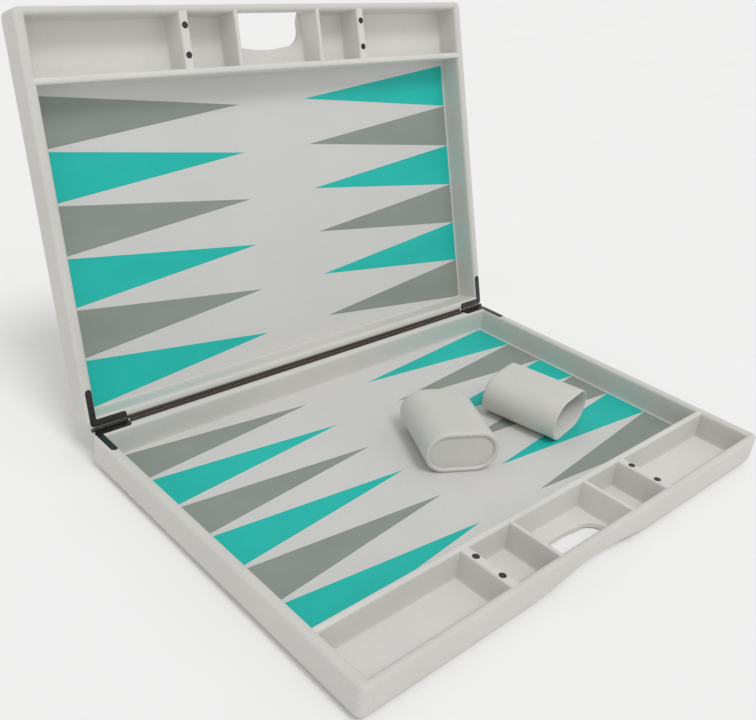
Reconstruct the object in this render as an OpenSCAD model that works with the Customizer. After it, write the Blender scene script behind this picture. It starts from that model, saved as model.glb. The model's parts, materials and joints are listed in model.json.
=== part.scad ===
// Folding backgammon set: two shallow leather-covered leaves hinged along the fold,
// inlaid points, checker trays with a carrying handle, and two dice cups.
// Units are millimetres, +Z is up, the lower leaf lies flat and the lid stands open.

/* [Case] */
// length of the case along the fold
case_length = 600; // [580:1:620]
// distance from the hinge line to the outer face of the end wall
leaf_reach = 403; // [401:0.5:408]
// height of one leaf from its underside to its rim
leaf_height = 38; // [36:0.5:44]
// opening angle of the lid, where 0 is closed and 180 is open flat
lid_open_angle = 106.8; // [60:0.2:170]
// thickness of the two side walls
side_wall_thickness = 11; // [10.5:0.5:12]
// thickness of the end wall, which is also the handle
end_wall_thickness = 8; // [7:0.5:9]
// distance from the hinge line to the outer face of the fold wall
fold_setback = 2.5; // [2.5:0.1:3.5]
// distance from the hinge line to the inner face of the fold wall
fold_inner_face = 12; // [11.5:0.25:12]
// radius of the soft lower edges all round a leaf
bottom_round = 12; // [8:1:14]
// radius of the four upright corners of a leaf
corner_round = 7; // [5:0.5:8]
// radius of the padded edges along the rim
rim_round = 3; // [2:0.25:3.5]
// thickness of the base board
base_thickness = 6; // [5:0.5:7]
// gap between the two rims when the case is closed
closing_gap = 0.6; // [0.4:0.1:1]

/* [Playing field] */
// thickness of the playing surface that lies on the base board
surface_thickness = 1.5; // [1.2:0.1:2]
// width of one point at its base, measured centre to centre
point_pitch = 52.5; // [51:0.5:53]
// length of a point from base to tip
point_length = 240.5; // [200:0.5:250]
// depth of the inlaid points
inlay_depth = 0.6; // [0.4:0.1:0.8]
// distance from a point's base to the side wall
point_margin = 1.5; // [1:0.5:3]
// white left between neighbouring points at the base
point_gap = 0.4; // [0.2:0.1:1]

/* [Trays] */
// distance from the hinge line to the field side of the tray wall
tray_wall_start = 333.5; // [331:0.5:335]
// thickness of the tray wall
tray_wall_thickness = 7; // [5:0.5:8]
// distance from the middle of the leaf to the middle of a magnet partition
magnet_partition_offset = 122; // [112:1:140]
// thickness of the partitions that carry the magnets
magnet_partition_thickness = 10.5; // [10:0.25:14]
// distance from the middle of the leaf to the middle of a handle partition
handle_partition_offset = 57; // [56:0.5:62]
// thickness of the partitions beside the handle
handle_partition_thickness = 5; // [4.5:0.25:6]
// radius of the padded top edges of the partitions
partition_round = 2; // [1:0.25:2.1]
// radius of a closing magnet
magnet_radius = 4; // [3:0.25:4.5]
// thickness of a closing magnet
magnet_depth = 3; // [2:0.5:5]

/* [Handle] */
// half of the width of the hand hole beside the end wall
hole_half_width = 51; // [46:0.5:51]
// distance from the hinge line to the curved edge of the hand hole
hole_edge_reach = 358; // [356:0.5:366]
// radius of the corners of the hand hole
hole_corner_round = 18; // [12:1:20]
// radius of the shallow curve of the hand hole
hole_curve_radius = 150; // [140:5:220]
// height of the finger recess at the outer face of the end wall
recess_height = 14.5; // [8:0.5:16]
// radius of the arch of the finger recess
recess_radius = 317; // [250:1:380]
// slope of the finger recess towards the inside
recess_slope = 30; // [25:1:40]
// height of the handle bar at the inner face of the end wall
handle_bar_height = 12; // [10:0.5:16]

/* [Hinges] */
// distance from the outer side of the case to a hinge plate
hinge_inset = 2.5; // [2:0.25:3]
// length of a hinge plate along the fold
hinge_length = 40.5; // [38:0.5:44]
// length of the leg that runs along the side wall
hinge_leg_length = 42; // [36:0.5:50]
// width of the leg
hinge_leg_width = 7; // [6.5:0.25:7.5]
// distance from the hinge line to the inner edge of a hinge plate
hinge_plate_reach = 10; // [9.5:0.25:10.5]
// thickness of a hinge plate
hinge_plate_thickness = 1.6; // [1.2:0.1:2]
// outer radius of the hinge barrel
barrel_radius = 2.2; // [2:0.05:2.25]
// radius of the hinge pin
pin_radius = 1.2; // [1:0.05:1.3]
// radial clearance between the pin and its barrel
pin_clearance = 0.05; // [0.03:0.01:0.08]
// radius of a screw head
screw_head_radius = 2.2; // [2:0.1:2.3]
// radius of a screw shank
screw_shank_radius = 1.1; // [0.9:0.05:1.2]
// length of a screw shank under its head
screw_length = 9; // [6:0.5:12]

/* [Dice cups] */
// width of a dice cup
cup_width = 81; // [76:0.5:86]
// thickness of a dice cup, which is its height when it lies flat
cup_thickness = 48; // [44:0.5:52]
// length of a dice cup from base to mouth
cup_length = 92; // [86:0.5:98]
// thickness of the cup's wall
cup_wall = 2.2; // [1.8:0.1:3]
// thickness of the lining inside the cup
cup_lining_thickness = 1; // [0.8:0.1:1.5]
// depth of the recess behind the cup's base
cup_base_recess = 3.5; // [2:0.5:6]
// thickness of the cup's base
cup_base_thickness = 3; // [2:0.5:5]
// sideways position of the left cup
left_cup_x = 20.5; // [0:0.5:25]
// distance of the left cup from the hinge line
left_cup_reach = 192.5; // [175:0.5:200]
// direction of the left cup's mouth, counted from the right towards the lid
left_cup_turn = 61.8; // [55:0.2:68]
// sideways position of the right cup
right_cup_x = 154; // [150:0.5:165]
// distance of the right cup from the hinge line
right_cup_reach = 205; // [190:0.5:215]
// direction of the right cup's mouth, counted from the right towards the lid
right_cup_turn = -80; // [-90:0.5:-70]

/* [Hidden] */
$fn = 64;
white_leather = [0.87, 0.86, 0.84];
field_leather = [0.80, 0.80, 0.78];
teal_leather = [0.10, 0.60, 0.55];
grey_leather = [0.46, 0.49, 0.46];
brown_facing = [0.20, 0.16, 0.14];
black_metal = [0.10, 0.10, 0.10];
magnet_metal = [0.18, 0.18, 0.19];
cup_felt = [0.62, 0.62, 0.60];
overlap = 1;
fit_gap = 0.02;
cup_piece_gap = 0.05;
points_per_column = 6;
half_length = case_length / 2;
inner_half_length = half_length - side_wall_thickness;
leaf_depth = leaf_reach - fold_setback;
leaf_middle = (leaf_reach + fold_setback) / 2;
end_inner_face = leaf_reach - end_wall_thickness;
floor_height = base_thickness + surface_thickness;
tray_start = tray_wall_start + tray_wall_thickness;
tray_depth = end_inner_face - tray_start;
magnet_tray_gap = 13;
magnet_end_gap = 12;
magnet_reaches = [tray_start + magnet_tray_gap, end_inner_face - magnet_end_gap];
axis_height = leaf_height + closing_gap / 2;
point_fold_gap = 0.25;
points_start = fold_inner_face + point_fold_gap;
point_base_x = inner_half_length - point_margin;
facing_thickness = fold_setback - closing_gap / 2;
facing_rim_gap = 0.2;
facing_top = leaf_height - facing_rim_gap;
facing_hinge_gap = 2;
plate_outer_x = half_length - hinge_inset;
plate_inner_x = plate_outer_x - hinge_length;
facing_half_length = plate_inner_x - facing_hinge_gap;
plate_bottom = leaf_height - hinge_plate_thickness;
plate_barrel_gap = 0.2;
plate_edge_reach = barrel_radius + plate_barrel_gap;
plate_corner_round = 5;
plate_end_round = 2;
leg_middle_x = plate_outer_x - hinge_leg_width / 2;
knuckle_count = 5;
knuckle_gap = 0.3;
knuckle_root = 0.5;
knuckle_pitch = hinge_length / knuckle_count;
pin_overhang = 0.5;
screw_edge_gap = 0.4;
screw_leg_gap = 5;
screw_inner_gap = 4;
screw_outer_gap = 15;
screw_row_reach = hinge_plate_reach - screw_head_radius - screw_edge_gap;
screw_places = [
    [leg_middle_x, hinge_leg_length - screw_leg_gap],
    [plate_inner_x + screw_inner_gap, screw_row_reach],
    [plate_outer_x - screw_outer_gap, screw_row_reach]
];
recess_half_run = 60;
recess_facets = 256;
handle_bar_drop = 4.5;
hole_corner_gap = 3;
hole_facets = 128;
lining_mouth_gap = 1.5;

// ---------- placing a leaf: a leaf is drawn with the hinge line at y = 0, reaching to -y ----------

module at_lower() {
    translate([0, leaf_middle, 0]) children();
}

module at_upper() {
    translate([0, leaf_middle, axis_height])
        rotate([180 - lid_open_angle, 0, 0])
            translate([0, 0, -axis_height])
                rotate([0, 0, 180]) children();
}

// ---------- shared outlines of a leaf ----------

module plan_body() {
    corner_x = half_length - corner_round;
    translate([-half_length, -leaf_reach + corner_round, -overlap])
        cube([case_length, leaf_depth - 2 * corner_round, leaf_height + 2 * overlap]);
    translate([-corner_x, -leaf_reach, -overlap])
        cube([2 * corner_x, leaf_depth, leaf_height + 2 * overlap]);
    for (side = [-1, 1]) {
        for (y = [-leaf_reach + corner_round, -fold_setback - corner_round]) {
            translate([side * corner_x, y, -overlap])
                cylinder(r = corner_round, h = leaf_height + 2 * overlap);
        }
    }
}

module front_body() {
    edge_x = half_length - bottom_round;
    translate([-half_length, -leaf_reach - overlap, bottom_round])
        cube([case_length, leaf_depth + 2 * overlap, leaf_height]);
    translate([-edge_x, -leaf_reach - overlap, 0])
        cube([2 * edge_x, leaf_depth + 2 * overlap, leaf_height]);
    for (side = [-1, 1]) {
        translate([side * edge_x, -fold_setback + overlap, bottom_round])
            rotate([90, 0, 0]) cylinder(r = bottom_round, h = leaf_depth + 2 * overlap);
    }
}

module side_body() {
    translate([-half_length - overlap, -leaf_reach, bottom_round])
        cube([case_length + 2 * overlap, leaf_depth, leaf_height]);
    translate([-half_length - overlap, -leaf_reach + bottom_round, 0])
        cube([case_length + 2 * overlap, leaf_depth - 2 * bottom_round, leaf_height]);
    for (y = [-leaf_reach + bottom_round, -fold_setback - bottom_round]) {
        translate([-half_length - overlap, y, bottom_round])
            rotate([0, 90, 0]) cylinder(r = bottom_round, h = case_length + 2 * overlap);
    }
}

// a wall along X with round upper edges, from the origin to +X and +Y
module soft_wall(length, thickness, height, round) {
    cube([length, thickness, height - round]);
    translate([0, round, 0]) cube([length, thickness - 2 * round, height]);
    for (y = [round, thickness - round]) {
        translate([0, y, height - round]) rotate([0, 90, 0]) cylinder(r = round, h = length);
    }
}

// ---------- hinge outlines, drawn for the right-hand end of a leaf ----------

module plate_outline() {
    corner_x = plate_outer_x - plate_corner_round;
    corner_y = -plate_edge_reach - plate_corner_round;
    leg_round = hinge_leg_width / 2;
    end_x = plate_inner_x + plate_end_round;
    translate([leg_middle_x - leg_round, -hinge_leg_length + leg_round, plate_bottom])
        cube([hinge_leg_width, hinge_leg_length - leg_round + corner_y, hinge_plate_thickness]);
    translate([leg_middle_x, -hinge_leg_length + leg_round, plate_bottom])
        cylinder(r = leg_round, h = hinge_plate_thickness);
    translate([corner_x, corner_y, plate_bottom])
        cylinder(r = plate_corner_round, h = hinge_plate_thickness);
    translate([end_x, -hinge_plate_reach, plate_bottom])
        cube([corner_x - end_x, hinge_plate_reach - plate_edge_reach, hinge_plate_thickness]);
    translate([plate_inner_x, -hinge_plate_reach + plate_end_round, plate_bottom])
        cube([
            plate_end_round + overlap,
            hinge_plate_reach - plate_edge_reach - plate_end_round,
            hinge_plate_thickness
        ]);
    translate([end_x, -hinge_plate_reach + plate_end_round, plate_bottom])
        cylinder(r = plate_end_round, h = hinge_plate_thickness);
}

module screw_holes() {
    for (place = screw_places) {
        translate([place[0], -place[1], plate_bottom - screw_length])
            cylinder(r = screw_shank_radius + fit_gap, h = screw_length + overlap);
    }
}

// what both hinges take out of a leaf's rim
module hinge_seats() {
    for (side = [0, 1]) {
        mirror([side, 0, 0]) {
            plate_outline();
            screw_holes();
        }
    }
}

module knuckle(index) {
    start = plate_inner_x + index * knuckle_pitch + knuckle_gap / 2;
    width = knuckle_pitch - knuckle_gap;
    translate([start, 0, axis_height]) rotate([0, 90, 0]) cylinder(r = barrel_radius, h = width);
    translate([start, -plate_edge_reach - knuckle_root, plate_bottom])
        cube([width, plate_edge_reach + knuckle_root, hinge_plate_thickness]);
}

module hinge_plate(knuckles) {
    difference() {
        union() {
            plate_outline();
            for (index = knuckles) knuckle(index);
        }
        translate([plate_inner_x - overlap, 0, axis_height])
            rotate([0, 90, 0])
                cylinder(r = pin_radius + pin_clearance, h = hinge_length + 2 * overlap);
        for (place = screw_places) {
            translate([place[0], -place[1], plate_bottom])
                cylinder(
                    r1 = screw_shank_radius + fit_gap,
                    r2 = screw_head_radius + fit_gap,
                    h = hinge_plate_thickness
                );
        }
    }
}

module hinge_screws() {
    for (place = screw_places) {
        translate([place[0], -place[1], plate_bottom - screw_length])
            cylinder(r = screw_shank_radius, h = screw_length);
        translate([place[0], -place[1], plate_bottom])
            cylinder(r1 = screw_shank_radius, r2 = screw_head_radius, h = hinge_plate_thickness);
    }
}

module hinge_pin() {
    translate([plate_inner_x - pin_overhang, 0, axis_height])
        rotate([0, 90, 0]) cylinder(r = pin_radius, h = hinge_length + 2 * pin_overhang);
}

// ---------- the pieces of one leaf ----------

// the arched recess under the handle, sloping up towards the outside
module finger_recess() {
    translate([0, -leaf_reach, recess_height])
        rotate([-recess_slope, 0, 0])
            translate([0, recess_half_run, -recess_radius])
                rotate([90, 0, 0])
                    cylinder(r = recess_radius, h = 2 * recess_half_run, $fn = recess_facets);
}

// the hand hole through the floor of the middle tray
module hand_hole() {
    corner_y = -hole_edge_reach - hole_corner_gap - hole_corner_round;
    intersection() {
        union() {
            translate([-hole_half_width, -end_inner_face, -overlap])
                cube([2 * hole_half_width, end_inner_face + corner_y, floor_height + 2 * overlap]);
            translate([-hole_half_width + hole_corner_round, -end_inner_face, -overlap])
                cube([
                    2 * (hole_half_width - hole_corner_round),
                    end_inner_face - hole_edge_reach + overlap,
                    floor_height + 2 * overlap
                ]);
            for (side = [-1, 1]) {
                translate([side * (hole_half_width - hole_corner_round), corner_y, -overlap])
                    cylinder(r = hole_corner_round, h = floor_height + 2 * overlap);
            }
        }
        translate([0, -hole_edge_reach - hole_curve_radius, -overlap])
            cylinder(r = hole_curve_radius, h = floor_height + 2 * overlap, $fn = hole_facets);
    }
}

module leaf_base_panel() {
    difference() {
        intersection() {
            union() {
                translate([-inner_half_length, -end_inner_face, 0])
                    cube([2 * inner_half_length, end_inner_face - fold_inner_face, base_thickness]);
                translate([-inner_half_length, -end_inner_face, 0])
                    cube([2 * inner_half_length, tray_depth, floor_height]);
            }
            side_body();
        }
        hand_hole();
        finger_recess();
    }
}

module leaf_side_wall(side) {
    mirror([side < 0 ? 1 : 0, 0, 0])
        difference() {
            intersection() {
                translate([half_length, -leaf_reach, 0])
                    rotate([0, 0, 90])
                        soft_wall(leaf_depth, side_wall_thickness, leaf_height, rim_round);
                front_body();
                side_body();
                plan_body();
            }
            hinge_seats();
        }
}

module leaf_end_wall() {
    bar_underside = leaf_height - handle_bar_height;
    bar_outer_edge = recess_height - handle_bar_drop;
    difference() {
        intersection() {
            translate([-inner_half_length, -leaf_reach, 0])
                soft_wall(2 * inner_half_length, end_wall_thickness, leaf_height, rim_round);
            side_body();
        }
        finger_recess();
        translate([hole_half_width, -end_inner_face, 0])
            rotate([0, -90, 0])
                linear_extrude(height = 2 * hole_half_width)
                    polygon([
                        [-overlap, overlap],
                        [bar_underside, overlap],
                        [bar_underside, 0],
                        [bar_outer_edge, -end_wall_thickness],
                        [bar_outer_edge, -end_wall_thickness - overlap],
                        [-overlap, -end_wall_thickness - overlap]
                    ]);
    }
}

module leaf_fold_wall() {
    difference() {
        intersection() {
            translate([-inner_half_length, -fold_inner_face, 0])
                soft_wall(
                    2 * inner_half_length, fold_inner_face - fold_setback, leaf_height, rim_round
                );
            side_body();
        }
        hinge_seats();
    }
}

module leaf_tray_wall() {
    translate([-inner_half_length, -tray_start, base_thickness])
        soft_wall(
            2 * inner_half_length, tray_wall_thickness, leaf_height - base_thickness, rim_round
        );
}

// a tray partition, centred on the given sideways position
module partition(middle_x, thickness) {
    translate([middle_x + thickness / 2, -end_inner_face, floor_height])
        rotate([0, 0, 90])
            soft_wall(tray_depth, thickness, leaf_height - floor_height, partition_round);
}

module magnet_discs(side, radius, depth) {
    for (reach = magnet_reaches) {
        translate([side * magnet_partition_offset, -reach, leaf_height - magnet_depth])
            cylinder(r = radius, h = depth);
    }
}

module leaf_magnet_partition(side) {
    difference() {
        partition(side * magnet_partition_offset, magnet_partition_thickness);
        magnet_discs(side, magnet_radius + fit_gap, magnet_depth + overlap);
    }
}

module leaf_handle_partition(side) {
    partition(side * handle_partition_offset, handle_partition_thickness);
}

// the points of one colour, sunk into the playing surface; colour 0 starts at the left
module leaf_points(colour) {
    half_base = (point_pitch - point_gap) / 2;
    for (side = [-1, 1]) {
        for (index = [0:points_per_column - 1]) {
            if ((index + (side > 0 ? 1 : 0)) % 2 == colour) {
                translate([
                    side * point_base_x,
                    -points_start - (index + 0.5) * point_pitch,
                    floor_height - inlay_depth
                ])
                    linear_extrude(height = inlay_depth)
                        polygon([[0, -half_base], [0, half_base], [-side * point_length, 0]]);
            }
        }
    }
}

module leaf_playing_surface() {
    difference() {
        translate([-inner_half_length, -tray_wall_start, base_thickness])
            cube([2 * inner_half_length, tray_wall_start - fold_inner_face, surface_thickness]);
        leaf_points(0);
        leaf_points(1);
    }
}

module leaf_fold_facing() {
    translate([-facing_half_length, -fold_setback, bottom_round])
        cube([2 * facing_half_length, facing_thickness, facing_top - bottom_round]);
}

// ---------- the pieces of one dice cup, lying flat with its mouth towards +X ----------

module stadium(start, length, inset) {
    radius = cup_thickness / 2 - inset;
    centre_y = (cup_width - cup_thickness) / 2;
    translate([start, -centre_y, inset]) cube([length, 2 * centre_y, 2 * radius]);
    for (side = [-1, 1]) {
        translate([start, side * centre_y, cup_thickness / 2])
            rotate([0, 90, 0]) cylinder(r = radius, h = length);
    }
}

module at_left_cup() {
    translate([left_cup_x, leaf_middle - left_cup_reach, floor_height])
        rotate([0, 0, left_cup_turn]) children();
}

module at_right_cup() {
    translate([right_cup_x, leaf_middle - right_cup_reach, floor_height])
        rotate([0, 0, right_cup_turn]) children();
}

module cup_shell() {
    difference() {
        stadium(-cup_length / 2, cup_length, 0);
        stadium(-cup_length / 2 - overlap, cup_length + 2 * overlap, cup_wall);
    }
}

module cup_base() {
    stadium(-cup_length / 2 + cup_base_recess, cup_base_thickness, cup_wall + cup_piece_gap);
}

module cup_lining() {
    start = -cup_length / 2 + cup_base_recess + cup_base_thickness;
    difference() {
        stadium(start, cup_length / 2 - start - lining_mouth_gap, cup_wall + cup_piece_gap);
        stadium(start - overlap, cup_length, cup_wall + cup_piece_gap + cup_lining_thickness);
    }
}

// ---------- lower leaf ----------

module lower_base_panel() {
    color(white_leather) at_lower() leaf_base_panel();
}

module lower_left_side_wall() {
    color(white_leather) at_lower() leaf_side_wall(-1);
}

module lower_right_side_wall() {
    color(white_leather) at_lower() leaf_side_wall(1);
}

module lower_end_wall() {
    color(white_leather) at_lower() leaf_end_wall();
}

module lower_fold_wall() {
    color(white_leather) at_lower() leaf_fold_wall();
}

module lower_tray_wall() {
    color(white_leather) at_lower() leaf_tray_wall();
}

module lower_left_magnet_partition() {
    color(white_leather) at_lower() leaf_magnet_partition(-1);
}

module lower_right_magnet_partition() {
    color(white_leather) at_lower() leaf_magnet_partition(1);
}

module lower_left_handle_partition() {
    color(white_leather) at_lower() leaf_handle_partition(-1);
}

module lower_right_handle_partition() {
    color(white_leather) at_lower() leaf_handle_partition(1);
}

module lower_playing_surface() {
    color(field_leather) at_lower() leaf_playing_surface();
}

module lower_teal_points() {
    color(teal_leather) at_lower() leaf_points(1);
}

module lower_grey_points() {
    color(grey_leather) at_lower() leaf_points(0);
}

module lower_magnets() {
    color(magnet_metal) at_lower() {
        magnet_discs(-1, magnet_radius, magnet_depth);
        magnet_discs(1, magnet_radius, magnet_depth);
    }
}

module lower_fold_facing() {
    color(brown_facing) at_lower() leaf_fold_facing();
}

// ---------- upper leaf, the lid: the same pieces turned half a turn, so left and right swap ----------

module upper_base_panel() {
    color(white_leather) at_upper() leaf_base_panel();
}

module upper_left_side_wall() {
    color(white_leather) at_upper() leaf_side_wall(1);
}

module upper_right_side_wall() {
    color(white_leather) at_upper() leaf_side_wall(-1);
}

module upper_end_wall() {
    color(white_leather) at_upper() leaf_end_wall();
}

module upper_fold_wall() {
    color(white_leather) at_upper() leaf_fold_wall();
}

module upper_tray_wall() {
    color(white_leather) at_upper() leaf_tray_wall();
}

module upper_left_magnet_partition() {
    color(white_leather) at_upper() leaf_magnet_partition(1);
}

module upper_right_magnet_partition() {
    color(white_leather) at_upper() leaf_magnet_partition(-1);
}

module upper_left_handle_partition() {
    color(white_leather) at_upper() leaf_handle_partition(1);
}

module upper_right_handle_partition() {
    color(white_leather) at_upper() leaf_handle_partition(-1);
}

module upper_playing_surface() {
    color(field_leather) at_upper() leaf_playing_surface();
}

module upper_teal_points() {
    color(teal_leather) at_upper() leaf_points(1);
}

module upper_grey_points() {
    color(grey_leather) at_upper() leaf_points(0);
}

module upper_magnets() {
    color(magnet_metal) at_upper() {
        magnet_discs(-1, magnet_radius, magnet_depth);
        magnet_discs(1, magnet_radius, magnet_depth);
    }
}

module upper_fold_facing() {
    color(brown_facing) at_upper() leaf_fold_facing();
}

// ---------- hinges ----------

module left_hinge_lower_plate() {
    color(black_metal) at_lower() mirror([1, 0, 0]) hinge_plate([0, 2, 4]);
}

module left_hinge_upper_plate() {
    color(black_metal) at_upper() hinge_plate([1, 3]);
}

module left_hinge_pin() {
    color(black_metal) at_lower() mirror([1, 0, 0]) hinge_pin();
}

module left_hinge_lower_screws() {
    color(black_metal) at_lower() mirror([1, 0, 0]) hinge_screws();
}

module left_hinge_upper_screws() {
    color(black_metal) at_upper() hinge_screws();
}

module right_hinge_lower_plate() {
    color(black_metal) at_lower() hinge_plate([0, 2, 4]);
}

module right_hinge_upper_plate() {
    color(black_metal) at_upper() mirror([1, 0, 0]) hinge_plate([1, 3]);
}

module right_hinge_pin() {
    color(black_metal) at_lower() hinge_pin();
}

module right_hinge_lower_screws() {
    color(black_metal) at_lower() hinge_screws();
}

module right_hinge_upper_screws() {
    color(black_metal) at_upper() mirror([1, 0, 0]) hinge_screws();
}

// ---------- dice cups ----------

module left_cup_shell() {
    color(white_leather) at_left_cup() cup_shell();
}

module left_cup_base() {
    color(white_leather) at_left_cup() cup_base();
}

module left_cup_lining() {
    color(cup_felt) at_left_cup() cup_lining();
}

module right_cup_shell() {
    color(white_leather) at_right_cup() cup_shell();
}

module right_cup_base() {
    color(white_leather) at_right_cup() cup_base();
}

module right_cup_lining() {
    color(cup_felt) at_right_cup() cup_lining();
}

lower_base_panel();
lower_left_side_wall();
lower_right_side_wall();
lower_end_wall();
lower_fold_wall();
lower_tray_wall();
lower_left_magnet_partition();
lower_right_magnet_partition();
lower_left_handle_partition();
lower_right_handle_partition();
lower_playing_surface();
lower_teal_points();
lower_grey_points();
lower_magnets();
lower_fold_facing();
upper_base_panel();
upper_left_side_wall();
upper_right_side_wall();
upper_end_wall();
upper_fold_wall();
upper_tray_wall();
upper_left_magnet_partition();
upper_right_magnet_partition();
upper_left_handle_partition();
upper_right_handle_partition();
upper_playing_surface();
upper_teal_points();
upper_grey_points();
upper_magnets();
upper_fold_facing();
left_hinge_lower_plate();
left_hinge_upper_plate();
left_hinge_pin();
left_hinge_lower_screws();
left_hinge_upper_screws();
right_hinge_lower_plate();
right_hinge_upper_plate();
right_hinge_pin();
right_hinge_lower_screws();
right_hinge_upper_screws();
left_cup_shell();
left_cup_base();
left_cup_lining();
right_cup_shell();
right_cup_base();
right_cup_lining();
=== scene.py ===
import json
import math

import bmesh
import bpy
from mathutils import Matrix, Vector


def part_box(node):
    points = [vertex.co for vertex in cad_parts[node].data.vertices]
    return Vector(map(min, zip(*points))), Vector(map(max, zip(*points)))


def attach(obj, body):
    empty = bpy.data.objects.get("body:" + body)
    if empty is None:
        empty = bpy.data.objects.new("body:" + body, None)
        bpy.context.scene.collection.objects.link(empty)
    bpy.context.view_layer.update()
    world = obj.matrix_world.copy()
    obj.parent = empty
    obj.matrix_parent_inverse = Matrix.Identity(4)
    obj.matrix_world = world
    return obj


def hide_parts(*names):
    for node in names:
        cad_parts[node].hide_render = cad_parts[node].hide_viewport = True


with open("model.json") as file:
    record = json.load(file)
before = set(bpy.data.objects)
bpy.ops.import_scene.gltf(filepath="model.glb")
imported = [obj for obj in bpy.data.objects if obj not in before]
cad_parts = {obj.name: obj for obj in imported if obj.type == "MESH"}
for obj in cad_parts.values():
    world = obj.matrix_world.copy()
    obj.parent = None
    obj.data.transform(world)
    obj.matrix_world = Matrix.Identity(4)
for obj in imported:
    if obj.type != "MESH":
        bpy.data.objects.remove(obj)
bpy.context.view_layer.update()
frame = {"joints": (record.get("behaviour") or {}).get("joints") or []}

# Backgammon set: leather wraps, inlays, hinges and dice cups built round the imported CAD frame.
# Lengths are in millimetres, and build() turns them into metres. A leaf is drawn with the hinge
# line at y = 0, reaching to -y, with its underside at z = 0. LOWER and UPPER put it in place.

MM = 0.001
JOINTS = {joint["name"]: joint for joint in frame["joints"]}


# ---------------------------------------------------------------- sizes, read from the frame

def box_mm(node):
    lo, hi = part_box(node)
    return [c / MM for c in lo], [c / MM for c in hi]


hinge = JOINTS["lid_hinge"]
AXIS_Y = hinge["pos_m"][1] / MM
AXIS_Z = hinge["pos_m"][2] / MM
OPEN_DEG = -hinge["range_deg"][0]

wall_lo, wall_hi = box_mm("lower_right_side_wall")
end_lo, end_hi = box_mm("lower_end_wall")
fold_lo, fold_hi = box_mm("lower_fold_wall")
tray_lo, tray_hi = box_mm("lower_tray_wall")
field_lo, field_hi = box_mm("lower_playing_surface")

HALF = wall_hi[0]
INNER = wall_lo[0]
RIM = wall_hi[2]
REACH = AXIS_Y - end_lo[1]
END_IN = AXIS_Y - end_hi[1]
FOLD_OUT = AXIS_Y - fold_hi[1]
FOLD_IN = AXIS_Y - fold_lo[1]
TRAY_IN = AXIS_Y - tray_hi[1]
TRAY_OUT = AXIS_Y - tray_lo[1]
FLOOR = field_hi[2]
BASE = field_lo[2]

LOWER = Matrix.Translation((0, AXIS_Y, 0))
UPPER = (
    Matrix.Translation((0, AXIS_Y, AXIS_Z))
    @ Matrix.Rotation(math.radians(180 - OPEN_DEG), 4, "X")
    @ Matrix.Translation((0, 0, -AXIS_Z))
    @ Matrix.Rotation(math.pi, 4, "Z")
)
LEAVES = (("lower", "lower_leaf", LOWER), ("upper", "lid", UPPER))
FLIP = Matrix.Scale(-1, 4, (1, 0, 0))


# ---------------------------------------------------------------- mesh helpers

MERGE_M = 1e-6
CARVE_MERGE_M = 4e-6
CARVE_COLLAPSE_M = 2e-6
CARVED_SHARP_DEG = 42.0
LEAST_RADIUS = 0.01
MITRE_LIMIT = 0.35
FLAT_FACE_MM2 = 900.0


def build(name, verts, faces, matrix):
    """A mesh object from points in mm, placed by matrix, with outward faces."""
    mesh = bpy.data.meshes.new(name)
    mesh.from_pydata([tuple((matrix @ Vector(v)) * MM) for v in verts], [], faces)
    obj = bpy.data.objects.new(name, mesh)
    bpy.context.scene.collection.objects.link(obj)
    tidy(obj)
    return obj


def tidy(obj, sharp_deg=38.0):
    """Merges doubled points, turns faces outwards and smooths every edge below the sharp angle."""
    bm = bmesh.new()
    bm.from_mesh(obj.data)
    bmesh.ops.remove_doubles(bm, verts=bm.verts, dist=MERGE_M)
    bmesh.ops.recalc_face_normals(bm, faces=bm.faces)
    limit = math.radians(sharp_deg)
    for face in bm.faces:
        face.smooth = True
    for edge in bm.edges:
        edge.smooth = not (len(edge.link_faces) == 2 and edge.calc_face_angle(0.0) > limit)
    bm.to_mesh(obj.data)
    bm.free()
    obj.data.update()


def loft(rings, closed=False):
    """Quads between equal closed rings; n-gon caps, or the last ring joined to the first."""
    count = len(rings[0])
    verts = [p for ring in rings for p in ring]
    faces = []
    pairs = len(rings) if closed else len(rings) - 1
    for k in range(pairs):
        a, b = k * count, ((k + 1) % len(rings)) * count
        for i in range(count):
            j = (i + 1) % count
            faces.append((a + i, a + j, b + j, b + i))
    if not closed:
        faces.append(tuple(reversed(range(count))))
        faces.append(tuple(range((len(rings) - 1) * count, len(rings) * count)))
    return verts, faces


def joined(parts):
    """One vertex and face list from several."""
    verts, faces = [], []
    for part_verts, part_faces in parts:
        base = len(verts)
        verts += part_verts
        faces += [tuple(i + base for i in face) for face in part_faces]
    return verts, faces


def round_rect(x0, x1, y0, y1, radius, steps, along=(1, 1, 1, 1)):
    """Counter-clockwise rounded rectangle; along divides the low-y, high-x, high-y, low-x sides."""
    radius = max(radius, LEAST_RADIUS)
    centres = ((x1 - radius, y0 + radius, -90), (x1 - radius, y1 - radius, 0),
               (x0 + radius, y1 - radius, 90), (x0 + radius, y0 + radius, 180))
    points = []
    for side, (cx, cy, start) in enumerate(centres):
        points += arc(cx, cy, radius, start, start + 90, steps)
        nx, ny, begin = centres[(side + 1) % 4]
        last = points[-1]
        a = math.radians(begin)
        target = (nx + radius * math.cos(a), ny + radius * math.sin(a))
        parts = along[(side + 1) % 4]
        for i in range(1, parts):
            t = i / parts
            points.append((last[0] + (target[0] - last[0]) * t, last[1] + (target[1] - last[1]) * t))
    return points


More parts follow.
